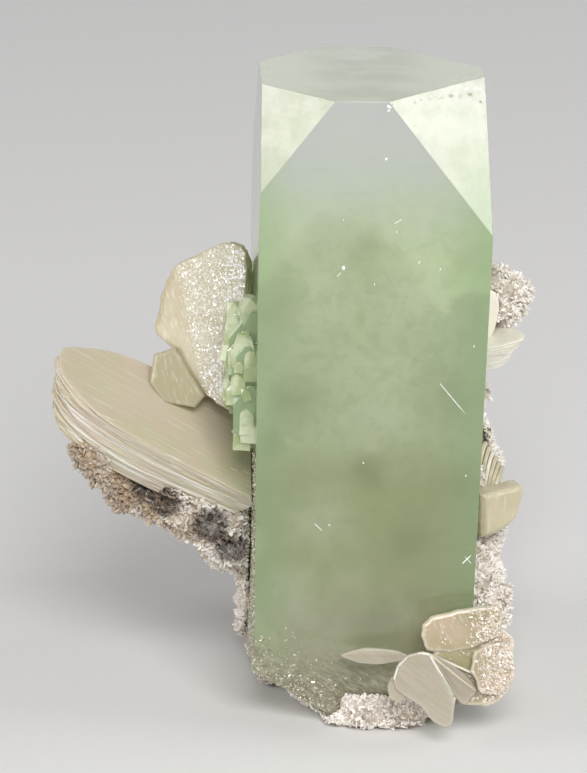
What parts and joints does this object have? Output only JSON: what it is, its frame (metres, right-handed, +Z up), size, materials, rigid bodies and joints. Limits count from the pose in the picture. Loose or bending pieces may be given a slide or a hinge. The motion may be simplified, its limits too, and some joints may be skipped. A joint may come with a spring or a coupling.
{
  "type": "mineral specimen",
  "caption": "Square fluorapophyllite prism with cut upper corners, rising from a rough matrix set with sheaves and plates of stilbite.",
  "frame": {"origin": "middle of the bounding box, at the height of the flat underside", "axes": "+Z up along the prism, +Y from the prism's broad front face towards its back, +X to the right as seen from the front"},
  "size_m": [0.0472, 0.0394, 0.0612],
  "materials": {
    "fluorapophyllite": "smooth natural crystal faces, pale green and see-through",
    "stilbite": "pearly cleavage faces, cream and partly translucent",
    "matrix": "rough rock covered with small white crystals"
  },
  "bodies": {
    "root": {"apophyllite": "fluorapophyllite", "matrix": "matrix", "stilbite_front_rosette": "stilbite", "stilbite_left_blade": "stilbite", "stilbite_left_tablet": "stilbite", "stilbite_lower_right_sheaf": "stilbite", "stilbite_upper_left_sheaf": "stilbite", "stilbite_upper_right_sheaf": "stilbite"}
  },
  "joints": []
}
